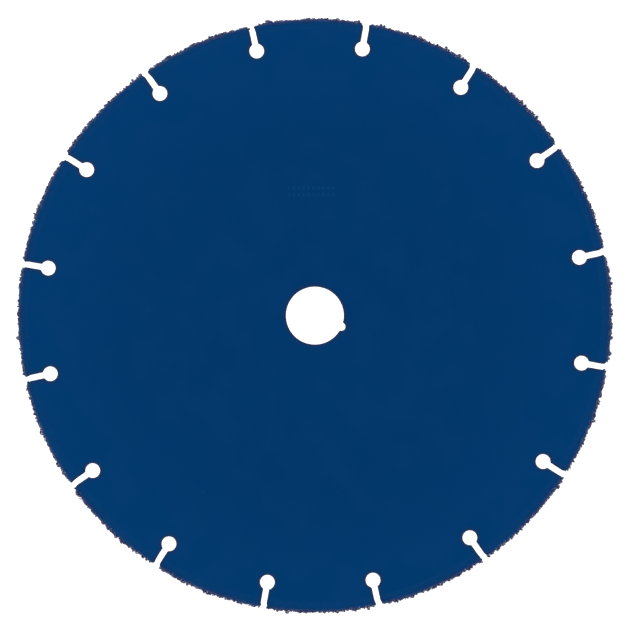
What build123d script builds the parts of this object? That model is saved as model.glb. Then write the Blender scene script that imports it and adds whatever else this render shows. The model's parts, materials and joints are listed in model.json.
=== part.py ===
from build123d import *

import os
from math import asin, degrees, radians, tan
from random import Random

# Slotted diamond cutting blade for a large angle grinder, in millimetres.
# The blade lies flat. Its origin is the centre of the bore, halfway through the steel, and +Z is the
# spin axis. A steel disc carries the bore and a ring of keyhole slots. The slots divide the rim into
# sections, and each section has its own bed of braze with its own diamonds set in it.

# Steel disc
blade_diameter = 230.0  # over the tips of the tallest diamonds
core_thickness = 1.8
bore_diameter = 22.23  # seven eighths of an inch, the boss of a large grinder's flange
bore_chamfer = 0.2
notch_radius = 1.5  # half-round locating notch, centred on the bore's wall
notch_angle = -22.6  # degrees round from +X

# Keyhole slots, which let the rim expand and carry air into the cut
slot_count = 16
slot_phase = 12.4  # degrees round from +X to the first slot
slot_width = 2.2
keyhole_diameter = 5.6
keyhole_inset = 10.3  # from the cutting diameter to a keyhole's centre

# Braze bed, a channel that wraps the rim of each section
cut_width = 2.4  # across the two flanks of the bed
bed_height = 3.4  # how far the bed reaches in from the edge of the steel
bed_taper = 1.4  # how much of that height it takes the flank to rise to full width
seat_depth = 0.15  # the rim of the steel is ground this much thinner on each face
bed_floor = 0.1  # braze left between the steel's edge and the deepest diamond
bed_round = 0.3  # radius of the bed's two outer edges
mouth_relief = 0.6  # how far the bed is cut back from a slot's wall at the rim

# Diamonds, as octahedra set in the edge of the bed
grit_size = 0.75  # corner to corner
grit_smallest = 0.8  # the smallest diamond, as a share of that
grit_buried = 0.55  # share of its size that a diamond sits below the bed's surface
grit_row_gap = 0.1  # least room between two rows of diamonds
grit_spacing = 0.85  # room between two diamonds of a row, where they stand evenly
grit_wander = 0.4  # share of that room by which a diamond may stray along the rim
grit_seed = 23

# Sizes that follow from those
tip_radius = blade_diameter / 2
core_radius = tip_radius - grit_size - bed_floor
bed_radius = core_radius + bed_floor + grit_buried * grit_size
seat_radius = core_radius - bed_height
bore_radius = bore_diameter / 2
keyhole_centre = tip_radius - keyhole_inset
face_height = core_thickness / 2
seat_height = face_height - seat_depth
flank_height = cut_width / 2
section_angle = 360 / slot_count
through = 2 * cut_width  # height of a tool that passes right through the blade


def half_section(upper):
    """A face on one side of the axis, from its points above the blade's middle and their mirror images."""
    lower = [(radius, -height) for radius, height in reversed(upper)]
    return make_face(Polyline(*upper, *lower, close=True))


def ring(section):
    """A solid of revolution about the axis, from a face with X as its radius and Y as its height."""
    return revolve(Plane.XZ * section, Axis.Z)


def round_the_axis(first_angle):
    """One turn for each slot, starting from an angle in degrees."""
    return [Rot(Z=first_angle + section_angle * n) for n in range(slot_count)]


def slot_tool():
    """The straight part of one slot, along +X from its keyhole's centre to beyond the rim."""
    reach = tip_radius + slot_width - keyhole_centre
    return Pos(keyhole_centre + reach / 2, 0, 0) * Box(reach, slot_width, through)


def keyhole_tool():
    """The round end of one slot, along +X."""
    return Pos(keyhole_centre, 0, 0) * Cylinder(keyhole_diameter / 2, through)


def mouth_tool():
    """The wedge that eases the two corners of the bed at a slot's mouth, along +X."""
    start = core_radius + bed_floor
    rise = bed_radius - start
    flare = mouth_relief / rise  # sideways travel for each millimetre of radius
    end = tip_radius + slot_width
    near = slot_width / 2
    far = near + flare * (end - start)
    outline = Polyline((start, -near), (end, -far), (end, far), (start, near), close=True)
    return extrude(make_face(outline), through / 2, both=True)


def steel_core():
    """The disc, with its chamfered bore, its locating notch, its ground rim and its slots."""
    mouth = bore_radius + bore_chamfer
    wall = face_height - bore_chamfer
    upper = [
        (bore_radius, wall),
        (mouth, face_height),
        (seat_radius, face_height),
        (seat_radius, seat_height),
        (core_radius, seat_height),
    ]
    disc = ring(half_section(upper))
    notch = Rot(Z=notch_angle) * Pos(bore_radius, 0, 0) * Cylinder(notch_radius, through)
    slots = [turn * tool() for turn in round_the_axis(slot_phase) for tool in (slot_tool, keyhole_tool)]
    return disc - [notch, *slots]


def braze_channel():
    """The braze bed of the section whose middle lies on +X, before its diamonds are set in it."""
    upper = [
        (core_radius, seat_height),
        (seat_radius, seat_height),
        (seat_radius, face_height),
        (seat_radius + bed_taper, flank_height),
        (bed_radius, flank_height),
    ]
    section = half_section(upper)
    outer_corners = section.vertices().group_by(Axis.X)[-1]
    bed = ring(fillet(outer_corners, bed_round))
    half = section_angle / 2
    reach = 2 * tip_radius
    side = reach * tan(radians(half))
    sector = make_face(Polyline((0, 0), (reach, -side), (reach, side), close=True))
    slots = [Rot(Z=turn) * tool() for turn in (-half, half) for tool in (slot_tool, mouth_tool)]
    return (bed & extrude(sector, through / 2, both=True)) - slots


def crystal(size):
    """One octahedral diamond about the origin, with its corners on the axes."""
    half = size / 2
    signs = (-1, 1)
    faces = [
        Face(Wire.make_polygon([(x * half, 0, 0), (0, y * half, 0), (0, 0, z * half)]))
        for x in signs
        for y in signs
        for z in signs
    ]
    return Solid(Shell(faces))


def diamonds():
    """The diamonds of the section whose middle lies on +X, in staggered rows along its edge."""
    dice = Random(grit_seed)
    stray = grit_wander * grit_spacing / 2
    centre_radius = core_radius + bed_floor + grit_size / 2
    land = cut_width - 2 * bed_round
    rows = int(land / (grit_size + grit_row_gap))
    end_angle = degrees(asin((slot_width / 2 + mouth_relief + grit_size) / bed_radius))
    length = radians(section_angle - 2 * end_angle) * bed_radius
    per_row = int(length / (grit_size + grit_spacing))
    stones = []
    for row in range(rows):
        height = land * ((row + 0.5) / rows - 0.5)
        for n in range(per_row):
            along = length * ((n + (row + 0.5) / rows) / per_row - 0.5)
            along += dice.uniform(-stray, stray)
            turn = Rot(*[dice.uniform(0, 360) for _ in range(3)])
            size = grit_size * dice.uniform(grit_smallest, 1)
            place = Rot(Z=degrees(along / bed_radius)) * Pos(centre_radius, 0, height)
            stones.append(place * turn * crystal(size))
    return stones


def write(name, shape):
    export_step(shape, f"parts/{name}.step")


def main():
    os.makedirs("parts", exist_ok=True)
    write("steel_core", steel_core())
    stones = diamonds()
    bed = braze_channel() - stones
    middle = slot_phase + section_angle / 2
    for number, turn in enumerate(round_the_axis(middle), start=1):
        write(f"braze_bed_{number:02d}", turn * bed)
        write(f"diamond_grit_{number:02d}", turn * Compound(children=stones))


main()
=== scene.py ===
import json
import math
import random

import bmesh
import bpy
from mathutils import Matrix, Vector

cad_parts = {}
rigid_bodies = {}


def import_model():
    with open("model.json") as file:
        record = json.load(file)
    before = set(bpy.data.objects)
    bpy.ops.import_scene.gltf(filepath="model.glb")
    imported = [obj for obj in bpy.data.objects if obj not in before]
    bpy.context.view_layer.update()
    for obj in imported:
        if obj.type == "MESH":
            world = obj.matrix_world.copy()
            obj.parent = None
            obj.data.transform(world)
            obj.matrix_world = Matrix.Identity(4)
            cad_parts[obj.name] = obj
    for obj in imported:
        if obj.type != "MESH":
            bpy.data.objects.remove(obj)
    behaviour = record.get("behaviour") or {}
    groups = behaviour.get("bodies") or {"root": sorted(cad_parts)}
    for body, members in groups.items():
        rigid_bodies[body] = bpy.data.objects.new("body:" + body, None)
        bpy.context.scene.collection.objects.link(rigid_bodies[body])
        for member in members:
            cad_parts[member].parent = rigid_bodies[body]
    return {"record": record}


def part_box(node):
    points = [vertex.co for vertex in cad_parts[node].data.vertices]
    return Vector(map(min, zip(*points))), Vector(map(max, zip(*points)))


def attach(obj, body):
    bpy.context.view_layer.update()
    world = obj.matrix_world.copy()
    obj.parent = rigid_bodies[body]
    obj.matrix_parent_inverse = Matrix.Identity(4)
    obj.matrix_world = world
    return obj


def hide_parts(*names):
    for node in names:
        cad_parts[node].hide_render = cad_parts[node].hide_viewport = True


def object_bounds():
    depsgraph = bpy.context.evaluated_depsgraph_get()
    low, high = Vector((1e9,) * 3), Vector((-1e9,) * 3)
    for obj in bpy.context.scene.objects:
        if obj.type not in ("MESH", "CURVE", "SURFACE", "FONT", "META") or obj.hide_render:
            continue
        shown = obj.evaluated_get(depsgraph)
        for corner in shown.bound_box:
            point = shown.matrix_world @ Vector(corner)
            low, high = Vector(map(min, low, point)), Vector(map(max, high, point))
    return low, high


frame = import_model()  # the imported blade, fixed in place, in metres
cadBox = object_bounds()
mm = 0.001
print("frame loaded")


# Camera and units first, then helpers, then one block for each kind of piece.

cameraView = {
    "frameWidth": 243.4,  # mm across the square view
    "offset": (0.05, 0.23),  # the blade sits a hair below the middle
    "height": 600.0,
    "clip": (10.0, 20000.0),  # the nearest and furthest that it sees
}


def placeCamera():
    data = bpy.data.cameras.new("camera")
    data.type = "ORTHO"  # the face is seen square on, with no perspective in the bore or the slots
    data.ortho_scale = cameraView["frameWidth"] * mm
    data.clip_start, data.clip_end = (distance * mm for distance in cameraView["clip"])
    camera = bpy.data.objects.new("camera", data)
    x, y = cameraView["offset"]
    camera.location = (x * mm, y * mm, cameraView["height"] * mm)
    bpy.context.scene.collection.objects.link(camera)
    bpy.context.scene.camera = camera


placeCamera()


def linearColour(hexCode):
    # the sRGB curve undone, channel by channel
    channels = [int(hexCode[i:i + 2], 16) / 255 for i in (1, 3, 5)]
    linear = [c / 12.92 if c <= 0.04045 else ((c + 0.055) / 1.055) ** 2.4 for c in channels]
    return (*linear, 1.0)


def addNode(tree, kind, inputs=None, output=0, **settings):
    # makes one node with its settings and links, and hands back one of its outputs
    node = tree.nodes.new(kind)
    for key, value in settings.items():
        setattr(node, key, value)
    for key, value in (inputs or {}).items():
        if isinstance(value, bpy.types.NodeSocket):
            tree.links.new(value, node.inputs[key])
        else:
            node.inputs[key].default_value = value
    return node.outputs[output] if node.outputs else node.inputs[0]


def newMaterial(name):
    material = bpy.data.materials.new(name)
    material.use_nodes = True
    tree = material.node_tree
    tree.nodes.clear()
    return material, tree, addNode(tree, "ShaderNodeTexCoord", output="Object")


def finishMaterial(material, shader):
    surface = addNode(material.node_tree, "ShaderNodeBsdfPrincipled", shader)
    addNode(material.node_tree, "ShaderNodeOutputMaterial", {"Surface": surface})
    return material


def radiusOf(tree, place):
    # distance from the blade's axis
    flat = addNode(tree, "ShaderNodeVectorMath", {0: place, 1: (1, 1, 0)}, operation="MULTIPLY")
    return addNode(tree, "ShaderNodeVectorMath", {0: flat}, "Value", operation="LENGTH")


noiseRange = (0.3, 0.7)  # nearly all of a noise lies between these
smooth = {"interpolation_type": "SMOOTHSTEP"}


def unevenValue(tree, place, featureSize, low=0.0, high=1.0, detail=2.0):
    # a value that wanders between low and high, with featureSize mm from crest to crest
    inputs = {"Vector": place, "Scale": 1 / (featureSize * mm), "Detail": detail}
    noise = addNode(tree, "ShaderNodeTexNoise", inputs, "Fac")
    spread = {0: noise, 1: noiseRange[0], 2: noiseRange[1], 3: low, 4: high}
    return addNode(tree, "ShaderNodeMapRange", spread, **smooth)


socketKinds = {int: "Int", float: "Float", bpy.types.Object: "Object", bpy.types.Collection: "Collection"}


def inputsOf(piece, unit, *names):
    # values from a piece's dictionary, for the tree inputs of the same names
    return {name: piece[name] * unit for name in names}


def newTree(name, values):
    # a tree with one named input for each of the values, and one for the geometry
    tree = bpy.data.node_groups.new(name, "GeometryNodeTree")
    tree.interface.new_socket("Geometry", in_out="INPUT", socket_type="NodeSocketGeometry")
    for title, value in values.items():
        kind = "NodeSocket" + socketKinds[type(value)]
        tree.interface.new_socket(title, in_out="INPUT", socket_type=kind)
    tree.interface.new_socket("Geometry", in_out="OUTPUT", socket_type="NodeSocketGeometry")
    return tree, addNode(tree, "NodeGroupInput").node.outputs


def newObject(name, data):
    piece = bpy.data.objects.new(name, data)
    bpy.context.scene.collection.objects.link(piece)
    return piece


def growMesh(name, data, tree, values):
    # runs one node tree over a curve or a mesh, and keeps the result as a plain mesh
    base = newObject(name + "Base", data)
    modifier = base.modifiers.new("grow", "NODES")
    modifier.node_group = tree
    for item in tree.interface.items_tree:
        if item.in_out == "INPUT" and item.name in values:
            modifier[item.identifier] = values[item.name]
    graph = bpy.context.evaluated_depsgraph_get()
    mesh = bpy.data.meshes.new_from_object(base.evaluated_get(graph), depsgraph=graph)
    base.modifiers.remove(modifier)
    bpy.data.objects.remove(base)
    mesh.name = name
    return newObject(name, mesh)


def skinRings(build, rings):
    # joins rings of points into a closed skin, and hands back its two end caps
    count = len(rings[0])
    for low, high in zip(rings, rings[1:]):
        for n in range(count):
            build.faces.new((low[n], low[(n + 1) % count], high[(n + 1) % count], high[n]))
    return [build.faces.new(rings[0]), build.faces.new(rings[-1])]


def meshFrom(build, name):
    bmesh.ops.recalc_face_normals(build, faces=build.faces)  # outwards
    mesh = bpy.data.meshes.new(name)
    build.to_mesh(mesh)
    build.free()
    return mesh


def arcPoints(centre, radius, start, end, steps):
    angles = [start + (end - start) * n / steps for n in range(steps + 1)]
    return [(centre[0] + radius * math.cos(a), centre[1] + radius * math.sin(a)) for a in angles]


# Sizes that every piece shares. Radii and heights come from the frame.

blade = {
    "slotCount": 16,
    "firstSlot": 12.4,  # degrees round from +X
    "slotWidth": 2.2,
    "keyholeDiameter": 5.6,
    "keyholeInset": 10.3,  # from the cutting edge to a keyhole's centre
    "notchRadius": 1.5,
    "notchAngle": -22.6,
    "bedHeight": 3.4,  # how far the braze reaches in from the edge of the steel
    "seatDepth": 0.15,  # the rim of the steel is this much thinner under the braze
}

boreMount = next(mount for mount in frame["record"]["mounts"] if mount["name"] == "bore")
boreRadius = boreMount["dims"]["r_mm"] * mm
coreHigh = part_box("steel_core")[1]
coreRadius = coreHigh.x
faceHeight = coreHigh.z
seatHeight = faceHeight - blade["seatDepth"] * mm
seatRadius = coreRadius - blade["bedHeight"] * mm
tipRadius = cadBox[1].x
halfSlot = blade["slotWidth"] / 2 * mm
keyholeRadius = blade["keyholeDiameter"] / 2 * mm
keyholeCentre = tipRadius - blade["keyholeInset"] * mm
notchRadius = blade["notchRadius"] * mm
notchAngle = math.radians(blade["notchAngle"])
sectionAngle = 2 * math.pi / blade["slotCount"]
firstSlot = math.radians(blade["firstSlot"])


# Navy stoving enamel, sprayed on the steel blank and baked. It flows into a soft orange peel with a
# satin gloss, and a few nibs of dust stay in it. Painted light draws the coat a shade lighter towards
# the rim. Along the cut edges it is darker, partly for the thin coat there and partly as painted
# shade of the rounded edges.

enamel = {
    "colour": "#00386d",
    "cloudColour": "#00396e",
    # painted light: the lighter colour drawn towards the rim, between the radii given below
    "rimLitColour": "#003c72",
    "cloudSize": 55.0,
    "rimLightRadii": (60.0, 112.0),  # radii between which the colour goes over to the rim's
    "peelSize": 1.1,
    "peelDepth": 0.004,
    "grindPitch": 0.8,  # rings of the surface grinder, drawn coarser than the real 0.1 mm to show
    "grindDepth": 0.0015,
    "roughness": (0.2, 0.25),
    "glossSize": 14.0,
    "ior": 1.5,
    "specular": 0.18,
    "nibSpacing": 11.0,
    "nibRadius": 0.45,
    "nibHeight": 0.012,
    "nibShare": 0.2,  # how many of the places where a nib could be have one
    "nibColour": "#0c4579",
    # darker along the cut edges: partly the thin coat there, partly painted shade of the rounded edges
    "thinColour": "#1f2e4b",
    "thinAndShadeReach": 1.9,  # how far from a cut edge the coat starts to thin
    "thinAndShadeMost": 0.6,
    "thinSize": 1.3,
    "thinPatches": (0.75, 1.25),  # how much less or more it thins in places
}

marking = {
    "colour": "#0b477c",
    "centre": (-1.1, 48.0),
    "width": 18.4,
    "lineHeight": 1.3,
    "lineGap": 2.6,  # between the middles of the two lines
    "barPitch": 1.9,
    "barShare": 0.62,  # how much of the pitch is bar
    "strength": 0.38,
}


def edgeDistance(tree, place):
    # distance from the nearest cut edge, found by folding the blade onto its first slot
    radius = radiusOf(tree, place)
    axes = addNode(tree, "ShaderNodeSeparateXYZ", {0: place}).node.outputs
    bearing = addNode(tree, "ShaderNodeMath", {0: axes[1], 1: axes[0]}, operation="ARCTAN2")
    turned = addNode(tree, "ShaderNodeMath", {0: bearing, 1: firstSlot}, operation="SUBTRACT")
    fold = addNode(tree, "ShaderNodeMath", {0: turned, 1: sectionAngle / 2}, operation="PINGPONG")
    cosine = addNode(tree, "ShaderNodeMath", {0: fold}, operation="COSINE")
    sine = addNode(tree, "ShaderNodeMath", {0: fold}, operation="SINE")
    along = addNode(tree, "ShaderNodeMath", {0: radius, 1: cosine}, operation="MULTIPLY")
    across = addNode(tree, "ShaderNodeMath", {0: radius, 1: sine}, operation="MULTIPLY")
    beside = addNode(tree, "ShaderNodeMath", {0: across, 1: halfSlot}, operation="SUBTRACT")
    behind = addNode(tree, "ShaderNodeMath", {0: keyholeCentre, 1: along}, operation="SUBTRACT")
    nearest = addNode(tree, "ShaderNodeMath", {0: beside, 1: behind}, operation="MAXIMUM")
    folded = addNode(tree, "ShaderNodeCombineXYZ", {0: along, 1: across})
    flat = addNode(tree, "ShaderNodeVectorMath", {0: place, 1: (1, 1, 0)}, operation="MULTIPLY")
    notchCentre = (boreRadius * math.cos(notchAngle), boreRadius * math.sin(notchAngle), 0)
    circles = (
        (folded, (keyholeCentre, 0, 0), keyholeRadius),
        (flat, notchCentre, notchRadius),
        (flat, (0, 0, 0), boreRadius),
    )
    for spot, centre, reach in circles:
        away = addNode(tree, "ShaderNodeVectorMath", {0: spot, 1: centre}, "Value", operation="DISTANCE")
        away = addNode(tree, "ShaderNodeMath", {0: away, 1: reach}, operation="SUBTRACT")
        nearest = addNode(tree, "ShaderNodeMath", {0: nearest, 1: away}, operation="MINIMUM")
    return nearest


def enamelColour(tree, place):
    cloud = unevenValue(tree, place, enamel["cloudSize"])
    # painted light: the coat goes a shade lighter towards the rim
    near, far = enamel["rimLightRadii"]
    reach = {0: radiusOf(tree, place), 1: near * mm, 2: far * mm}
    toRim = addNode(tree, "ShaderNodeMapRange", reach, **smooth)
    # darker along the cut edges: partly the thin coat, partly painted shade of the rounded edges
    patch = unevenValue(tree, place, enamel["thinSize"], *enamel["thinPatches"])
    edge = {0: edgeDistance(tree, place), 1: enamel["thinAndShadeReach"] * mm, 2: 0.0, 4: enamel["thinAndShadeMost"]}
    thinAndShade = addNode(tree, "ShaderNodeMapRange", edge, **smooth)
    thinAndShade = addNode(tree, "ShaderNodeMath", {0: thinAndShade, 1: patch}, operation="MULTIPLY")
    coat = linearColour(enamel["colour"])
    for share, shade in ((cloud, "cloudColour"), (toRim, "rimLitColour"), (thinAndShade, "thinColour")):
        shades = {0: share, 6: coat, 7: linearColour(enamel[shade])}
        coat = addNode(tree, "ShaderNodeMix", shades, 2, data_type="RGBA")
    return coat


def markingShape(tree, place):
    # two faint lines of plain bars, as a laser leaves them, on the upper face only
    x, y = (value * mm for value in marking["centre"])
    local = addNode(tree, "ShaderNodeVectorMath", {0: place, 1: (x, y, 0)}, operation="SUBTRACT")
    axes = addNode(tree, "ShaderNodeSeparateXYZ", {0: local}).node.outputs
    ends = {0: axes[0], 1: 0.0, 2: marking["width"] / 2 * mm}
    within = addNode(tree, "ShaderNodeMath", ends, operation="COMPARE")
    fromMiddle = addNode(tree, "ShaderNodeMath", {0: axes[1]}, operation="ABSOLUTE")
    line = {0: fromMiddle, 1: marking["lineGap"] / 2 * mm, 2: marking["lineHeight"] / 2 * mm}
    onLine = addNode(tree, "ShaderNodeMath", line, operation="COMPARE")
    pitches = addNode(tree, "ShaderNodeMath", {0: axes[0], 1: marking["barPitch"] * mm}, operation="DIVIDE")
    phase = addNode(tree, "ShaderNodeMath", {0: pitches}, operation="FRACT")
    bars = addNode(tree, "ShaderNodeMath", {0: phase, 1: marking["barShare"]}, operation="LESS_THAN")
    upper = addNode(tree, "ShaderNodeMath", {0: axes[2], 1: 0.0}, operation="GREATER_THAN")
    shape = within
    for limit in (onLine, bars, upper):
        shape = addNode(tree, "ShaderNodeMath", {0: shape, 1: limit}, operation="MULTIPLY")
    return shape


def nibShape(tree, place):
    # a speck of dust in a few of the cells of a scattered pattern
    cells = {"Vector": place, "Scale": 1 / (enamel["nibSpacing"] * mm)}
    voronoi = addNode(tree, "ShaderNodeTexVoronoi", cells).node.outputs
    reach = enamel["nibRadius"] / enamel["nibSpacing"]
    fade = {0: voronoi["Distance"], 1: reach, 2: reach / 2}  # flat on top, as far as half its radius
    spot = addNode(tree, "ShaderNodeMapRange", fade, **smooth)
    luck = addNode(tree, "ShaderNodeSeparateXYZ", {0: voronoi["Color"]})
    chosen = addNode(tree, "ShaderNodeMath", {0: luck, 1: enamel["nibShare"]}, operation="LESS_THAN")
    return addNode(tree, "ShaderNodeMath", {0: spot, 1: chosen}, operation="MULTIPLY")


def enamelMaterial():
    material, tree, place = newMaterial("navyStovingEnamel")
    mark = {0: markingShape(tree, place), 1: marking["strength"]}
    mark = addNode(tree, "ShaderNodeMath", mark, operation="MULTIPLY")
    nibs = nibShape(tree, place)
    colour = enamelColour(tree, place)
    for share, shade in ((mark, marking["colour"]), (nibs, enamel["nibColour"])):
        shades = {0: share, 6: colour, 7: linearColour(shade)}
        colour = addNode(tree, "ShaderNodeMix", shades, 2, data_type="RGBA")
    peel = unevenValue(tree, place, enamel["peelSize"], detail=1.0)
    outward = addNode(tree, "ShaderNodeCombineXYZ", {0: radiusOf(tree, place)})
    rings = unevenValue(tree, outward, enamel["grindPitch"], detail=3.0)
    relief = {}
    for height, depth in ((peel, "peelDepth"), (rings, "grindDepth"), (nibs, "nibHeight")):
        bump = {"Height": height, "Distance": enamel[depth] * mm, **relief}
        relief = {"Normal": addNode(tree, "ShaderNodeBump", bump)}
    shader = {
        "Base Color": colour,
        "Roughness": unevenValue(tree, place, enamel["glossSize"], *enamel["roughness"], detail=4.0),
        "IOR": enamel["ior"],
        "Specular IOR Level": enamel["specular"],
        **relief,
    }
    return finishMaterial(material, shader)


# Enamel on a cut edge draws back as it bakes, so it is thin, dark and a little rough there.

edgeEnamel = {
    "colour": "#093b6c",
    "thinColour": "#15294c",
    "patchSize": 1.6,
    "grainSize": 0.3,
    "grainDepth": 0.01,
    "roughness": (0.4, 0.52),
    "specular": 0.25,
}


def edgeMaterial():
    material, tree, place = newMaterial("thinEdgeEnamel")
    patch = unevenValue(tree, place, edgeEnamel["patchSize"], detail=3.0)
    shades = {0: patch, 6: linearColour(edgeEnamel["colour"]), 7: linearColour(edgeEnamel["thinColour"])}
    grain = unevenValue(tree, place, edgeEnamel["grainSize"], detail=3.0)
    bump = {"Height": grain, "Distance": edgeEnamel["grainDepth"] * mm}
    shader = {
        "Base Color": addNode(tree, "ShaderNodeMix", shades, 2, data_type="RGBA"),
        "Roughness": unevenValue(tree, place, edgeEnamel["grainSize"], *edgeEnamel["roughness"]),
        "IOR": enamel["ior"],
        "Specular IOR Level": edgeEnamel["specular"],
        "Normal": addNode(tree, "ShaderNodeBump", bump),
    }
    return finishMaterial(material, shader)


# Bare carbon steel on the bore wall, ground to size after painting: fine scratches run round the
# wall, and handling has left it a little stained.

boreSteel = {
    "colour": "#8f8d8a",
    "stainColour": "#5d5a58",
    "stainSize": 2.0,
    "scratchPitch": 0.06,
    "scratchDepth": 0.004,
    "roughness": (0.28, 0.42),
}


def steelMaterial():
    material, tree, place = newMaterial("groundCarbonSteel")
    stain = unevenValue(tree, place, boreSteel["stainSize"], detail=3.0)
    shades = {0: stain, 6: linearColour(boreSteel["colour"]), 7: linearColour(boreSteel["stainColour"])}
    upright = addNode(tree, "ShaderNodeVectorMath", {0: place, 1: (0, 0, 1)}, operation="MULTIPLY")
    scratch = unevenValue(tree, upright, boreSteel["scratchPitch"])
    bump = {"Height": scratch, "Distance": boreSteel["scratchDepth"] * mm}
    shader = {
        "Base Color": addNode(tree, "ShaderNodeMix", shades, 2, data_type="RGBA"),
        "Roughness": unevenValue(tree, upright, boreSteel["scratchPitch"], *boreSteel["roughness"]),
        "Metallic": 1.0,
        "Normal": addNode(tree, "ShaderNodeBump", bump),
    }
    return finishMaterial(material, shader)


# Nickel braze, frozen in lumps round the diamonds, with the enamel sprayed over it. It is navy where
# the coat is whole, and goes to a purple black where the coat is thin and the braze shows through.
# Painted shade also darkens the coat towards the rim, for the shade on the rounded rim.

paintedBraze = {
    "wornColour": "#1c3064",
    # painted shade: the coat darkens towards the rim, for the shade on the rounded rim
    "paintedShadeColour": "#022f5e",
    "wornReach": (0.35, -0.3),  # in from the steel's edge, where the coat starts to fail and is gone
    "paintedShadeFrom": 1.9,  # how far in from there the coat starts to darken
    "paintedShadeMost": 0.35,
    "mottleSize": 1.2,
    "mottleReach": 1.5,  # how far the patches stray in and out
    "driftSize": 16.0,  # and how the whole worn band widens and narrows round the rim
    "driftReach": 0.9,
    "grainSize": 0.25,
    "grainDepth": 0.03,
    "grainReach": 1.7,  # how far in from the steel's edge the grain starts
    "roughness": (0.2, 0.3),
    "specular": 0.25,
}


def brazeMaterial():
    material, tree, place = newMaterial("enamelledNickelBraze")
    half = paintedBraze["mottleReach"] / 2 * mm
    stray = unevenValue(tree, place, paintedBraze["mottleSize"], -half, half, detail=3.0)
    half = paintedBraze["driftReach"] / 2 * mm
    drift = unevenValue(tree, place, paintedBraze["driftSize"], -half, half, detail=0.0)
    stray = addNode(tree, "ShaderNodeMath", {0: stray, 1: drift}, operation="ADD")
    reach = addNode(tree, "ShaderNodeMath", {0: radiusOf(tree, place), 1: stray}, operation="ADD")
    # painted shade: darker towards the rim
    start = coreRadius - paintedBraze["paintedShadeFrom"] * mm
    paintedShade = {0: reach, 1: start, 2: coreRadius, 4: paintedBraze["paintedShadeMost"]}
    paintedShade = addNode(tree, "ShaderNodeMapRange", paintedShade, **smooth)
    first, last = paintedBraze["wornReach"]
    worn = {0: reach, 1: coreRadius - first * mm, 2: coreRadius - last * mm}
    worn = addNode(tree, "ShaderNodeMapRange", worn, **smooth)
    colour = enamelColour(tree, place)
    for share, shade in ((paintedShade, "paintedShadeColour"), (worn, "wornColour")):
        shades = {0: share, 6: colour, 7: linearColour(paintedBraze[shade])}
        colour = addNode(tree, "ShaderNodeMix", shades, 2, data_type="RGBA")
    grain = unevenValue(tree, place, paintedBraze["grainSize"], detail=3.0)
    start = coreRadius - paintedBraze["grainReach"] * mm
    toRim = {0: radiusOf(tree, place), 1: start, 2: coreRadius, 4: paintedBraze["grainDepth"] * mm}
    depth = addNode(tree, "ShaderNodeMapRange", toRim, **smooth)
    rough = addNode(tree, "ShaderNodeMath", {0: grain, 1: depth}, operation="MULTIPLY")
    shader = {
        "Base Color": colour,
        "Roughness": unevenValue(tree, place, paintedBraze["grainSize"], *paintedBraze["roughness"]),
        "IOR": enamel["ior"],
        "Specular IOR Level": paintedBraze["specular"],
        "Normal": addNode(tree, "ShaderNodeBump", {"Height": rough, "Distance": 1.0}),  # height in metres
    }
    return finishMaterial(material, shader)


# Synthetic diamond grit, grown and crushed: blue black to a dull violet, hard faced and bright on its
# facets. Where the spray has reached it, it carries the same enamel as the braze.

diamondGrit = {
    "toneSize": 1.1,
    "glossSize": 0.275,
    "bare": {"colours": ("#0d173e", "#353d76"), "roughness": (0.16, 0.3), "ior": 2.0, "specular": 0.5},
    "painted": {"colours": ("#00386c", "#03294f"), "roughness": (0.32, 0.46), "ior": 1.5, "specular": 0.3},
}


def gritMaterial(name, finish):
    material, tree, place = newMaterial(name)
    tone = unevenValue(tree, place, diamondGrit["toneSize"])
    first, second = (linearColour(colour) for colour in finish["colours"])
    shader = {
        "Base Color": addNode(tree, "ShaderNodeMix", {0: tone, 6: first, 7: second}, 2, data_type="RGBA"),
        "Roughness": unevenValue(tree, place, diamondGrit["glossSize"], *finish["roughness"]),
        "IOR": finish["ior"],
        "Specular IOR Level": finish["specular"],
    }
    return finishMaterial(material, shader)


bodyEnamel = enamelMaterial()
cutEdge = edgeMaterial()
wallSteel = steelMaterial()
bedPaint = brazeMaterial()
bareDiamond = gritMaterial("syntheticDiamond", diamondGrit["bare"])
paintedDiamond = gritMaterial("enamelledDiamond", diamondGrit["painted"])
print("materials made")


# Blade body: a disc turned from its half section, then slotted all round, as the real blank is.

bladeBody = {
    "turnSteps": 720,
    "edgeRound": 0.4,  # how far the paint rounds the edges of the bore and the slots
    "roundSteps": 4,
    "throatRound": 0.5,  # easing where a slot runs into its keyhole
    "mouthRound": (0.6, 1.7),  # and at its mouth, on its clockwise and its other side
    "notchRound": 0.4,
    "arcStep": 5.0,  # degrees between the points of a cutter's arcs
    "filletSteps": 6,
    "mergeWithin": 0.002,  # points this close become one
    "flatFrom": 0.999,  # how upright the normal of a flat face is, at least
    "wallUnder": 0.05,  # and the normal of the bore wall, at most
    "wallWithin": 0.05,  # how near the bore's radius its wall lies
    "softUnder": 35.0,  # degrees that an edge may turn and still shade smoothly
}


def edgeLevels():
    # heights from the lower to the upper side of a cutter, each with how far the edge is opened there
    radius = bladeBody["edgeRound"] * mm
    steps = bladeBody["roundSteps"]
    turns = [math.pi / 2 * n / steps for n in range(steps + 1)]
    upper = [(faceHeight - radius + radius * math.sin(a), radius - radius * math.cos(a)) for a in turns]
    upper.append((faceHeight + radius, radius))
    return [(-height, opening) for height, opening in reversed(upper)] + upper


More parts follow.
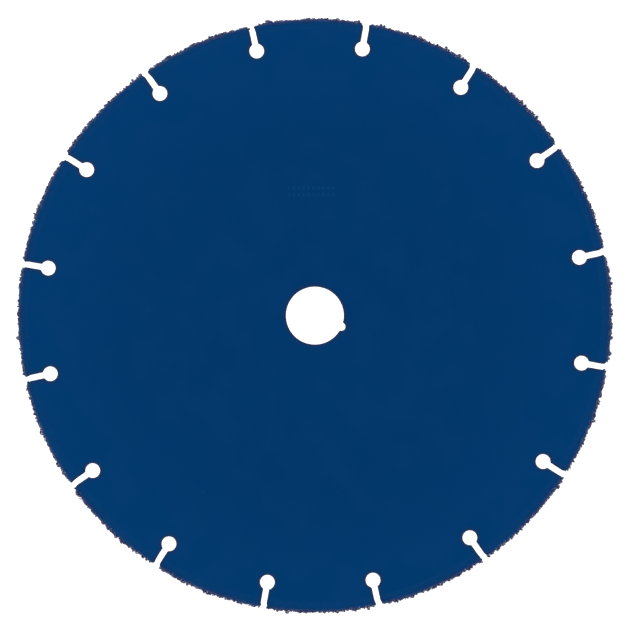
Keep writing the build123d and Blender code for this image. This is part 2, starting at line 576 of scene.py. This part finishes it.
def slotOutline(opening):
    fillet = bladeBody["throatRound"] * mm
    throat = math.sqrt((keyholeRadius + fillet) ** 2 - (halfSlot + fillet) ** 2)
    meet = math.atan2(halfSlot + fillet, throat)
    centre = (keyholeCentre, 0)
    steps = round(math.degrees(2 * math.pi - 2 * meet) / bladeBody["arcStep"])
    outer = tipRadius + 2 * halfSlot
    corner = (keyholeCentre + throat, halfSlot + fillet)
    sides = []
    for mouthRound in bladeBody["mouthRound"]:
        flare = mouthRound * mm
        mouth = (coreRadius - flare, halfSlot + flare)
        side = [(outer, halfSlot + flare)]
        side += arcPoints(mouth, flare - opening, 0, -math.pi / 2, bladeBody["filletSteps"])
        side += arcPoints(corner, fillet - opening, -math.pi / 2, meet - math.pi, bladeBody["filletSteps"])
        sides.append(side)
    back = arcPoints(centre, keyholeRadius + opening, meet, 2 * math.pi - meet, steps)[1:-1]
    return sides[1] + back + [(x, -y) for x, y in reversed(sides[0])]


def notchOutline(opening):
    fillet = bladeBody["notchRound"] * mm
    toBore = boreRadius + fillet
    toNotch = notchRadius + fillet
    x = (boreRadius ** 2 + toBore ** 2 - toNotch ** 2) / (2 * boreRadius)
    y = math.sqrt(toBore ** 2 - x ** 2)
    boreTurn = math.atan2(y, x)
    notchTurn = math.atan2(y, x - boreRadius)
    inner = boreRadius - notchRadius
    turns = (boreTurn - math.pi, notchTurn - math.pi)
    upper = [(inner * math.cos(boreTurn), inner * math.sin(boreTurn))]
    upper += arcPoints((x, y), fillet - opening, *turns, bladeBody["filletSteps"])
    steps = round(math.degrees(2 * notchTurn) / bladeBody["arcStep"])
    front = arcPoints((boreRadius, 0), notchRadius + opening, notchTurn, -notchTurn, steps)[1:-1]
    return upper + front + [(x, -y) for x, y in reversed(upper)]


def cutterMesh(name, outline, turn=0.0):
    # a closed tool whose sides open out at the two faces, so that it rounds the edges that it cuts
    build = bmesh.new()
    rings = []
    for height, opening in edgeLevels():
        rings.append([build.verts.new((x, y, height)) for x, y in outline(opening)])
    skinRings(build, rings)
    bmesh.ops.rotate(build, verts=build.verts, cent=(0, 0, 0), matrix=Matrix.Rotation(turn, 3, "Z"))
    return newObject(name, meshFrom(build, name))


def halfSection():
    # the disc's section as a closed curve, with X measured out from the bore wall
    upper = [(opening, height) for height, opening in edgeLevels() if 0 < height <= faceHeight]
    seat = seatRadius - boreRadius
    upper += [(seat, faceHeight), (seat, seatHeight), (coreRadius - boreRadius, seatHeight)]
    points = upper + [(x, -y) for x, y in reversed(upper)]
    curve = bpy.data.curves.new("halfSection", "CURVE")
    curve.dimensions = "3D"
    spline = curve.splines.new("POLY")
    spline.points.add(len(points) - 1)
    for point, (x, y) in zip(spline.points, points):
        point.co = (x, y, 0, 1)
    spline.use_cyclic_u = True
    return curve


def bodyTree(values):
    tree, given = newTree("turnedAndSlottedDisc", values)
    circle = {"Resolution": given["turnSteps"], "Radius": given["boreRadius"]}
    path = addNode(tree, "GeometryNodeCurvePrimitiveCircle", circle)
    lathe = {"Curve": path, "Profile Curve": given["Geometry"]}
    disc = addNode(tree, "GeometryNodeCurveToMesh", lathe)
    slot = addNode(tree, "GeometryNodeObjectInfo", {"Object": given["slotCutter"]}, "Geometry")
    notch = addNode(tree, "GeometryNodeObjectInfo", {"Object": given["notchCutter"]}, "Geometry")
    marks = addNode(tree, "GeometryNodePoints", {"Count": given["slotCount"]})
    index = addNode(tree, "GeometryNodeInputIndex")
    share = addNode(tree, "ShaderNodeMath", {0: index, 1: given["slotCount"]}, operation="DIVIDE")
    angle = {0: share, 1: 2 * math.pi, 2: given["firstSlot"]}
    angle = addNode(tree, "ShaderNodeMath", angle, operation="MULTIPLY_ADD")
    turn = addNode(tree, "ShaderNodeCombineXYZ", {2: angle})
    copies = {"Points": marks, "Instance": slot, "Rotation": turn}
    placed = addNode(tree, "GeometryNodeInstanceOnPoints", copies)
    slots = addNode(tree, "GeometryNodeRealizeInstances", {0: placed})
    cutters = addNode(tree, "GeometryNodeJoinGeometry", {0: slots})
    tree.links.new(notch, cutters.node.inputs[0])
    tools = {"Mesh 1": disc, "Mesh 2": cutters}
    cut = addNode(tree, "GeometryNodeMeshBoolean", tools, operation="DIFFERENCE", solver="MANIFOLD")
    whole = addNode(tree, "GeometryNodeRealizeInstances", {0: cut})
    coated = addNode(tree, "GeometryNodeSetMaterial", {"Geometry": whole, "Material": bodyEnamel})
    addNode(tree, "NodeGroupOutput", {0: coated})
    return tree


def finishBody(piece):
    # the coat, the cut edges and the bare bore wall get their own finishes, and only curves shade smoothly
    mesh = piece.data
    mesh.materials.clear()
    for finish in (bodyEnamel, cutEdge, wallSteel):
        mesh.materials.append(finish)
    build = bmesh.new()
    build.from_mesh(mesh)
    bmesh.ops.remove_doubles(build, verts=build.verts, dist=bladeBody["mergeWithin"] * mm)
    bmesh.ops.recalc_face_normals(build, faces=build.faces)
    wallReach = boreRadius + bladeBody["wallWithin"] * mm
    for face in build.faces:
        face.smooth = True
        spot = face.calc_center_median()
        upright = abs(face.normal.z)
        onWall = math.hypot(spot.x, spot.y) < wallReach and upright < bladeBody["wallUnder"]
        face.material_index = 0 if upright > bladeBody["flatFrom"] else 2 if onWall else 1
    softAngle = math.radians(bladeBody["softUnder"])
    for edge in build.edges:
        flat = any(abs(face.normal.z) > bladeBody["flatFrom"] for face in edge.link_faces)
        edge.smooth = not flat and edge.calc_face_angle(math.pi) < softAngle
    build.to_mesh(mesh)
    build.free()


def makeBody():
    slotCutter = cutterMesh("slotCutter", slotOutline)
    notchCutter = cutterMesh("notchCutter", notchOutline, notchAngle)
    values = {
        "boreRadius": boreRadius,
        "turnSteps": bladeBody["turnSteps"],
        "slotCount": blade["slotCount"],
        "firstSlot": firstSlot,
        "slotCutter": slotCutter,
        "notchCutter": notchCutter,
    }
    piece = growMesh("bladeBody", halfSection(), bodyTree(values), values)
    bpy.data.objects.remove(slotCutter)
    bpy.data.objects.remove(notchCutter)
    finishBody(piece)
    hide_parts("steel_core")
    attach(piece, "root")
    return piece


body = makeBody()
print("blade body:", len(body.data.polygons), "faces")


# Braze beds: one for each section of the rim, a channel that fits over the ground seat. Outside it
# starts flush with the enamel, swells towards the rim, and breaks into lumps there.

brazeBed = {
    "swell": 0.1,  # how far the flank stands above the face
    "swellReach": 2.4,  # how far out from the seat's edge it is fully swollen
    "rimCover": 0.26,  # braze over the edge of the steel
    "cornerRound": 0.32,
    "columnStep": 0.22,
    "mouthStep": 0.1,  # closer columns near a slot
    "startRound": (1.8, 2.5),  # how round a section's first corner is, and its last
    "endRound": (0.6, 1.1),
    "lumpSize": 0.8,
    "lumpHeight": 0.9,
    "lumpReach": 1.6,  # how far in from the steel's edge the lumps start
    "waveSize": 9.0,  # the slow rise and fall of the braze along the rim
    "waveHeight": 0.9,
    "flankShare": 0.25,  # how much of a lump's height it has on a flank
    "beadSize": 2.2,
    "beadDepth": 0.36,  # how far the braze can run into a slot's mouth
    "beadReach": 0.9,
    "beadNoise": (0.35, 0.65),  # between these values of a noise, a bead grows to its whole depth
    "profileSteps": (8, 6, 4, 9),  # over the swell, the flank, the round corner and the rim
    "mouthColumns": 16,  # how many of the closer columns there are
    "leastCover": 0.06,  # braze left on the steel where the corner is most rounded
    "softUnder": 50.0,
    "seed": 7,
}


def bedProfile():
    # from the lower face's inner edge round the rim to the upper face's, as radius and height
    crown = faceHeight + brazeBed["swell"] * mm
    edge = coreRadius + brazeBed["rimCover"] * mm
    corner = brazeBed["cornerRound"] * mm
    reach = brazeBed["swellReach"] * mm
    swellSteps, flankSteps, cornerSteps, rimSteps = brazeBed["profileSteps"]
    shares = [n / swellSteps for n in range(swellSteps + 1)]
    rise = brazeBed["swell"] * mm
    upper = [(seatRadius + reach * s, faceHeight + rise * s * s * (3 - 2 * s)) for s in shares]
    start = seatRadius + reach
    flat = edge - corner - start
    upper += [(start + flat * n / flankSteps, crown) for n in range(1, flankSteps + 1)]
    upper += arcPoints((edge - corner, crown - corner), corner, math.pi / 2, 0, cornerSteps)[1:]
    side = crown - corner
    middle = [(edge, side * (1 - 2 * n / rimSteps)) for n in range(1, rimSteps)]
    return [(r, -z) for r, z in upper + middle] + upper[::-1]


def cornerFall(toWall, reach):
    # how far a round corner of this reach has fallen away at a distance from the slot's wall
    short = max(0.0, reach - toWall)
    return reach - math.sqrt(reach ** 2 - short ** 2)


def bedMesh(name, middle, dice):
    # columns run from one slot wall to the other, and the channel inside closes the shape
    build = bmesh.new()
    layers = {title: build.verts.layers.float.new(title) for title in ("outside", "fromSlot", "beadSide")}
    outer = bedProfile()
    upper = [(seatRadius, seatHeight), (coreRadius, seatHeight)]
    inner = upper + [(r, -z) for r, z in reversed(upper)]
    length = sectionAngle * coreRadius - 2 * halfSlot
    mouths = [dice.uniform(*brazeBed[corner]) * mm for corner in ("startRound", "endRound")]
    near = [n * brazeBed["mouthStep"] * mm for n in range(brazeBed["mouthColumns"])]
    middleLength = length - 2 * near[-1]
    columns = round(middleLength / (brazeBed["columnStep"] * mm))
    stations = near + [near[-1] + middleLength * n / columns for n in range(1, columns)]
    stations += [length - station for station in reversed(near)]
    rings = []
    for station in stations:
        share = 2 * station / length - 1
        toWall = (1 - abs(share)) * length / 2
        steelEdge = coreRadius - cornerFall(toWall, bladeBody["mouthRound"][share <= 0] * mm)
        bedEdge = outer[len(outer) // 2][0] - cornerFall(toWall, mouths[share > 0])
        bedEdge = max(bedEdge, steelEdge + brazeBed["leastCover"] * mm)
        ring = []
        for n, (radius, height) in enumerate(outer + inner):
            isOutside = n < len(outer)
            radius = min(radius, bedEdge if isOutside else steelEdge)
            turn = middle + share * (sectionAngle / 2 - math.asin(halfSlot / radius))
            vert = build.verts.new((radius * math.cos(turn), radius * math.sin(turn), height))
            vert[layers["outside"]] = 1.0 if isOutside else 0.0
            vert[layers["fromSlot"]] = toWall
            vert[layers["beadSide"]] = 1.0 if share > 0 else 0.0
            ring.append(vert)
        rings.append(ring)
    bmesh.ops.triangulate(build, faces=skinRings(build, rings), ngon_method="EAR_CLIP")
    return meshFrom(build, name)


lumpValues = {
    **inputsOf(brazeBed, mm, "lumpSize", "lumpHeight", "lumpReach", "waveSize", "waveHeight"),
    **inputsOf(brazeBed, mm, "beadSize", "beadDepth", "beadReach"),
    **inputsOf(brazeBed, 1, "flankShare"),
    "rimRadius": coreRadius,
}


def nearRim(tree, radius, edge, reach):
    # on the outside of a bed, rises from 0 this far in from the steel's edge to 1 at the edge
    start = addNode(tree, "ShaderNodeMath", {0: edge, 1: reach}, operation="SUBTRACT")
    fade = {0: radius, 1: start, 2: edge}
    rising = addNode(tree, "ShaderNodeMapRange", fade, **smooth)
    outside = addNode(tree, "GeometryNodeInputNamedAttribute", {"Name": "outside"}, data_type="FLOAT")
    return addNode(tree, "ShaderNodeMath", {0: rising, 1: outside}, operation="MULTIPLY")


def risingNoise(tree, place, size, height):
    # noise that rises and falls by half the height each way
    scale = addNode(tree, "ShaderNodeMath", {0: 1.0, 1: size}, operation="DIVIDE")
    noise = addNode(tree, "ShaderNodeTexNoise", {"Vector": place, "Scale": scale, "Detail": 1.5}, "Fac")
    centred = addNode(tree, "ShaderNodeMath", {0: noise, 1: 0.5}, operation="SUBTRACT")
    return addNode(tree, "ShaderNodeMath", {0: centred, 1: height}, operation="MULTIPLY")


def lumpTree():
    tree, given = newTree("brazeLumps", lumpValues)
    place = addNode(tree, "GeometryNodeInputPosition")
    normal = addNode(tree, "GeometryNodeInputNormal")
    radius = radiusOf(tree, place)
    free = nearRim(tree, radius, given["rimRadius"], given["lumpReach"])
    lumps = risingNoise(tree, place, given["lumpSize"], given["lumpHeight"])
    waves = risingNoise(tree, place, given["waveSize"], given["waveHeight"])
    both = addNode(tree, "ShaderNodeMath", {0: lumps, 1: waves}, operation="ADD")
    rise = addNode(tree, "ShaderNodeMath", {0: both, 1: free}, operation="MULTIPLY")
    shares = addNode(tree, "ShaderNodeCombineXYZ", {0: 1.0, 1: 1.0, 2: given["flankShare"]})
    way = addNode(tree, "ShaderNodeVectorMath", {0: normal, 1: shares}, operation="MULTIPLY")
    lift = addNode(tree, "ShaderNodeVectorMath", {0: way, "Scale": rise}, operation="SCALE")

    # a bead of braze leans into the slot at a section's last corner
    fromSlot = addNode(tree, "GeometryNodeInputNamedAttribute", {"Name": "fromSlot"}, data_type="FLOAT")
    side = addNode(tree, "GeometryNodeInputNamedAttribute", {"Name": "beadSide"}, data_type="FLOAT")
    fade = {0: fromSlot, 2: given["beadReach"], 3: 1.0, 4: 0.0}
    nearSlot = addNode(tree, "ShaderNodeMapRange", fade, **smooth)
    scale = addNode(tree, "ShaderNodeMath", {0: 1.0, 1: given["beadSize"]}, operation="DIVIDE")
    noise = addNode(tree, "ShaderNodeTexNoise", {"Vector": place, "Scale": scale, "Detail": 1.0}, "Fac")
    low, high = brazeBed["beadNoise"]
    chosen = {0: noise, 1: low, 2: high, 4: given["beadDepth"]}
    bead = addNode(tree, "ShaderNodeMapRange", chosen, **smooth)
    for share in (nearSlot, free, side):
        bead = addNode(tree, "ShaderNodeMath", {0: bead, 1: share}, operation="MULTIPLY")
    push = addNode(tree, "ShaderNodeMath", {0: bead, 1: radius}, operation="DIVIDE")
    across = addNode(tree, "ShaderNodeVectorMath", {0: (0, 0, 1), 1: place}, operation="CROSS_PRODUCT")
    shove = addNode(tree, "ShaderNodeVectorMath", {0: across, "Scale": push}, operation="SCALE")

    total = addNode(tree, "ShaderNodeVectorMath", {0: lift, 1: shove}, operation="ADD")
    moved = addNode(tree, "GeometryNodeSetPosition", {"Geometry": given["Geometry"], "Offset": total})
    whole = addNode(tree, "GeometryNodeRealizeInstances", {0: moved})
    coated = addNode(tree, "GeometryNodeSetMaterial", {"Geometry": whole, "Material": bedPaint})
    addNode(tree, "NodeGroupOutput", {0: coated})
    return tree


def makeBed(number, tree, dice):
    name = f"brazeBed{number:02d}"
    middle = firstSlot + sectionAngle * (number - 0.5)
    piece = growMesh(name, bedMesh(name, middle, dice), tree, lumpValues)
    piece.data.shade_smooth()
    piece.data.set_sharp_from_angle(angle=math.radians(brazeBed["softUnder"]))
    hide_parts(f"braze_bed_{number:02d}")
    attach(piece, "root")
    return piece


bedTree = lumpTree()
bedDice = random.Random(brazeBed["seed"])
beds = [makeBed(number, bedTree, bedDice) for number in range(1, blade["slotCount"] + 1)]
print("braze beds:", len(beds), "with", len(beds[0].data.polygons), "faces each")


# Diamonds: grown crystals and split ones, scattered over the braze near the rim. They stand well out
# of the cutting edge, and lie almost buried in the flanks.

crystals = {
    "size": 0.66,  # across a middling crystal on the cutting edge
    "flankSize": 0.5,  # the share of that on a flank
    "smallest": 0.5,  # shares of the middling one
    "largest": 1.5,
    "tallest": 1.3,  # how much more the few largest have
    "tallPower": 12.0,  # how few they are
    "tallBand": 0.8,  # they stand within this much of the blade's middle
    "spacing": 0.35,
    "density": 9.0,  # crystals to a square millimetre where they are thickest
    "patchSize": 2.2,
    "patchLeast": 0.75,  # share of the density where the grit is thinnest
    "patchNoise": (0.38, 0.6),  # between these values of a noise, it goes from thinnest to thickest
    "innerReach": 1.9,  # how far in from the rim the first ones lie
    "slotMargin": 1.3,  # they thin out this near to a slot
    "edgeLift": 0.38,  # centre of a crystal above the braze, as a share of its size
    "flankLift": -0.2,
    "flankFrom": (0.1, 0.4),  # how upright the braze is where the edge ends and where a flank starts
    "shapeCount": 7,
    "stretch": (0.75, 1.25),  # of a shape along each of its axes
    "splitCorners": 13,
    "mergeUnder": 2.0,  # facets that turn less than this many degrees become one
    "splinter": 5,  # which of the shapes is a long one
    "splinterShape": (0.5, 0.6, 1.6),
    "seed": 11,
    "bareFrom": 0.0,  # past the steel's edge by this much, the enamel has missed them
    "bareStray": 0.5,
}


def crystalMesh(name, dice, grown, stretch):
    # a grown crystal is a truncated octahedron, and a split one is a hull of stray corners
    if grown:
        signs = [(a, b) for a in (-1, 1) for b in (-1, 1)]
        flats = [(0.0, a, 2.0 * b) for a, b in signs] + [(0.0, 2.0 * a, b) for a, b in signs]
        corners = [Vector((v[n % 3], v[(n + 1) % 3], v[(n + 2) % 3])) for v in flats for n in range(3)]
    else:
        count = crystals["splitCorners"]
        corners = [Vector([dice.gauss(0, 1) for _ in range(3)]).normalized() for _ in range(count)]
    build = bmesh.new()
    for corner in corners:
        spot = corner.normalized() * 0.5
        build.verts.new([value * scale for value, scale in zip(spot, stretch)])
    bmesh.ops.convex_hull(build, input=build.verts)
    loose = [vert for vert in build.verts if not vert.link_faces]
    bmesh.ops.delete(build, geom=loose, context="VERTS")
    limit = math.radians(crystals["mergeUnder"])
    bmesh.ops.dissolve_limit(build, angle_limit=limit, verts=build.verts, edges=build.edges)
    return meshFrom(build, name)


def crystalCollection():
    dice = random.Random(crystals["seed"])
    collection = bpy.data.collections.new("crystalShapes")
    bpy.context.scene.collection.children.link(collection)
    for n in range(crystals["shapeCount"]):
        name = f"crystalShape{n}"
        stretch = [dice.uniform(*crystals["stretch"]) for _ in range(3)]
        if n == crystals["splinter"]:
            stretch = crystals["splinterShape"]
        mesh = crystalMesh(name, dice, n % 2 == 0, stretch)
        collection.objects.link(bpy.data.objects.new(name, mesh))
    return collection


shapeCollection = crystalCollection()
gritValues = {
    **inputsOf(crystals, mm, "size", "spacing", "patchSize", "tallBand", "innerReach", "slotMargin"),
    **inputsOf(crystals, mm, "bareStray"),
    **inputsOf(crystals, 1, "flankSize", "smallest", "largest", "tallest", "tallPower"),
    **inputsOf(crystals, 1, "patchLeast", "edgeLift", "flankLift", "seed"),
    "shapes": shapeCollection,
    "density": crystals["density"] / mm ** 2,
    "rimRadius": coreRadius,
    "bareRadius": coreRadius + crystals["bareFrom"] * mm,
}


def gritTree():
    tree, given = newTree("diamondScatter", gritValues)
    place = addNode(tree, "GeometryNodeInputPosition")
    radius = radiusOf(tree, place)
    scale = addNode(tree, "ShaderNodeMath", {0: 1.0, 1: given["patchSize"]}, operation="DIVIDE")
    noise = addNode(tree, "ShaderNodeTexNoise", {"Vector": place, "Scale": scale, "Detail": 1.0}, "Fac")
    low, high = crystals["patchNoise"]
    thinned = {0: noise, 1: low, 2: high, 3: given["patchLeast"], 4: 1.0}
    patchy = addNode(tree, "ShaderNodeMapRange", thinned, **smooth)
    fromSlot = addNode(tree, "GeometryNodeInputNamedAttribute", {"Name": "fromSlot"}, data_type="FLOAT")
    fade = {0: fromSlot, 2: given["slotMargin"]}
    clear = addNode(tree, "ShaderNodeMapRange", fade, **smooth)
    share = nearRim(tree, radius, given["rimRadius"], given["innerReach"])
    for limit in (clear, patchy):
        share = addNode(tree, "ShaderNodeMath", {0: share, 1: limit}, operation="MULTIPLY")
    spread = {
        "Mesh": given["Geometry"],
        "Distance Min": given["spacing"],
        "Density Max": given["density"],
        "Density Factor": share,
        "Seed": given["seed"],
    }
    scatter = addNode(tree, "GeometryNodeDistributePointsOnFaces", spread, distribute_method="POISSON")
    scatter = scatter.node.outputs

    # size and depth: large and proud on the edge, small and sunk on the flanks
    normal = addNode(tree, "ShaderNodeSeparateXYZ", {0: scatter["Normal"]}, 2)
    upright = addNode(tree, "ShaderNodeMath", {0: normal}, operation="ABSOLUTE")
    low, high = crystals["flankFrom"]
    flank = addNode(tree, "ShaderNodeMapRange", {0: upright, 1: low, 2: high})
    luck = {2: 0.0, 3: 1.0, "Seed": given["seed"]}
    luck = addNode(tree, "FunctionNodeRandomValue", luck, 1, data_type="FLOAT")
    few = addNode(tree, "ShaderNodeMath", {0: luck, 1: given["tallPower"]}, operation="POWER")
    height = addNode(tree, "ShaderNodeSeparateXYZ", {0: place}, 2)
    height = addNode(tree, "ShaderNodeMath", {0: height}, operation="ABSOLUTE")
    extra = {0: height, 2: given["tallBand"], 3: given["tallest"], 4: 0.0}
    extra = addNode(tree, "ShaderNodeMapRange", extra, **smooth)
    tall = addNode(tree, "ShaderNodeMath", {0: few, 1: extra}, operation="MULTIPLY")
    usual = addNode(tree, "ShaderNodeMapRange", {0: luck, 3: given["smallest"], 4: given["largest"]})
    factor = addNode(tree, "ShaderNodeMath", {0: usual, 1: tall}, operation="ADD")
    onFlank = addNode(tree, "ShaderNodeMapRange", {0: flank, 3: 1.0, 4: given["flankSize"]})
    factor = addNode(tree, "ShaderNodeMath", {0: factor, 1: onFlank}, operation="MULTIPLY")
    size = addNode(tree, "ShaderNodeMath", {0: factor, 1: given["size"]}, operation="MULTIPLY")
    lift = addNode(tree, "ShaderNodeMapRange", {0: flank, 3: given["edgeLift"], 4: given["flankLift"]})
    rise = addNode(tree, "ShaderNodeMath", {0: lift, 1: size}, operation="MULTIPLY")
    offset = {0: scatter["Normal"], "Scale": rise}
    offset = addNode(tree, "ShaderNodeVectorMath", offset, operation="SCALE")
    lifted = addNode(tree, "GeometryNodeSetPosition", {"Geometry": scatter["Points"], "Offset": offset})

    # the spray has missed the outermost ones
    stray = addNode(tree, "ShaderNodeMath", {0: luck, 1: given["bareStray"]}, operation="MULTIPLY")
    edge = addNode(tree, "ShaderNodeMath", {0: radius, 1: stray}, operation="ADD")
    bare = addNode(tree, "ShaderNodeMath", {0: edge, 1: given["bareRadius"]}, operation="GREATER_THAN")
    mark = {"Geometry": lifted, "Name": "bare", "Value": bare}
    marked = addNode(tree, "GeometryNodeStoreNamedAttribute", mark, data_type="FLOAT", domain="POINT")

    shapes = {"Collection": given["shapes"], "Separate Children": True, "Reset Children": True}
    shapes = addNode(tree, "GeometryNodeCollectionInfo", shapes)
    turn = {0: (0, 0, 0), 1: (2 * math.pi,) * 3, "Seed": given["seed"]}
    turn = addNode(tree, "FunctionNodeRandomValue", turn, data_type="FLOAT_VECTOR")
    copies = {
        "Points": marked,
        "Instance": shapes,
        "Pick Instance": True,
        "Rotation": turn,
        "Scale": addNode(tree, "ShaderNodeCombineXYZ", {0: size, 1: size, 2: size}),
    }
    placed = addNode(tree, "GeometryNodeInstanceOnPoints", copies)
    whole = addNode(tree, "GeometryNodeRealizeInstances", {0: placed})
    coated = addNode(tree, "GeometryNodeSetMaterial", {"Geometry": whole, "Material": paintedDiamond})
    isBare = addNode(tree, "GeometryNodeInputNamedAttribute", {"Name": "bare"}, data_type="FLOAT")
    chosen = addNode(tree, "FunctionNodeCompare", {0: isBare, 1: 0.5}, operation="GREATER_THAN")
    missed = {"Geometry": coated, "Selection": chosen, "Material": bareDiamond}
    addNode(tree, "NodeGroupOutput", {0: addNode(tree, "GeometryNodeSetMaterial", missed)})
    return tree


def makeDiamonds(number, bed, tree):
    values = {**gritValues, "seed": crystals["seed"] + number}
    piece = growMesh(f"diamonds{number:02d}", bed.data.copy(), tree, values)
    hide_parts(f"diamond_grit_{number:02d}")
    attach(piece, "root")
    return piece


scatterTree = gritTree()
stones = [makeDiamonds(number, bed, scatterTree) for number, bed in enumerate(beds, start=1)]
for shape in list(shapeCollection.objects):
    bpy.data.objects.remove(shape)
bpy.data.collections.remove(shapeCollection)
print("diamonds:", sum(len(piece.data.polygons) for piece in stones), "faces in all")


# Floor and light: a plain pale table, lit through as well as from above, so that the bore and the
# slots read as clean openings. The room is dark overhead, so that the satin face shows its own
# colour, and pale near the horizon.

studio = {
    "floorWidth": 8000.0,
    "floorColour": "#f4f4f4",
    "floorRoughness": 0.9,
    "floorSpecular": 0.1,
    "floorGlow": 0.9,
    "sideLight": 0.3,  # brightness of the room near the horizon
    "sideReach": (0.2, 0.65),  # upward share of a direction over which that fades out
    "lampDistance": 1600.0,
    "lampWidth": 900.0,
    "lampHeight": 50.0,  # degrees above the table
    "lamps": {  # bearing in degrees and power in watts
        "keyLamp": (135.0, 11.6),
        "rightLamp": (40.0, 7.0),
        "backLamp": (235.0, 7.0),
        "frontLamp": (320.0, 6.4),
    },
}


def makeFloor():
    half = studio["floorWidth"] / 2 * mm
    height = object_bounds()[0].z
    corners = [(-half, -half, height), (half, -half, height), (half, half, height), (-half, half, height)]
    mesh = bpy.data.meshes.new("floor")
    mesh.from_pydata(corners, [], [(0, 1, 2, 3)])
    floor = newObject("floor", mesh)
    shader = {
        "Base Color": linearColour(studio["floorColour"]),
        "Roughness": studio["floorRoughness"],
        "Specular IOR Level": studio["floorSpecular"],
        "Emission Color": (1, 1, 1, 1),
        "Emission Strength": studio["floorGlow"],
    }
    material = newMaterial("paleTable")[0]
    mesh.materials.append(finishMaterial(material, shader))


def makeRoom():
    world = bpy.data.worlds.new("room")
    bpy.context.scene.world = world
    world.use_nodes = True
    tree = world.node_tree
    tree.nodes.clear()
    direction = addNode(tree, "ShaderNodeTexCoord", output="Generated")
    upward = addNode(tree, "ShaderNodeSeparateXYZ", {0: direction}, 2)
    low, high = studio["sideReach"]
    fade = {0: upward, 1: low, 2: high, 3: studio["sideLight"], 4: 0.0}
    strength = addNode(tree, "ShaderNodeMapRange", fade, **smooth)
    room = addNode(tree, "ShaderNodeBackground", {"Color": (1, 1, 1, 1), "Strength": strength})
    backdrop = addNode(tree, "ShaderNodeBackground", {"Color": (1, 1, 1, 1), "Strength": 1.0})
    seen = addNode(tree, "ShaderNodeLightPath", output="Is Camera Ray")
    both = addNode(tree, "ShaderNodeMixShader", {0: seen, 1: room, 2: backdrop})
    addNode(tree, "ShaderNodeOutputWorld", {"Surface": both})


def makeLamps():
    rise = math.radians(studio["lampHeight"])
    for name, (bearing, watts) in studio["lamps"].items():
        turn = math.radians(bearing)
        data = bpy.data.lights.new(name, "AREA")
        data.shape = "DISK"
        data.size = studio["lampWidth"] * mm
        data.energy = watts
        lamp = newObject(name, data)
        away = Vector((math.cos(turn) * math.cos(rise), math.sin(turn) * math.cos(rise), math.sin(rise)))
        lamp.location = away * studio["lampDistance"] * mm
        lamp.rotation_euler = (-away).to_track_quat("-Z", "Y").to_euler()


makeFloor()
makeRoom()
makeLamps()
bpy.context.scene.view_settings.view_transform = "Standard"
print("studio ready")
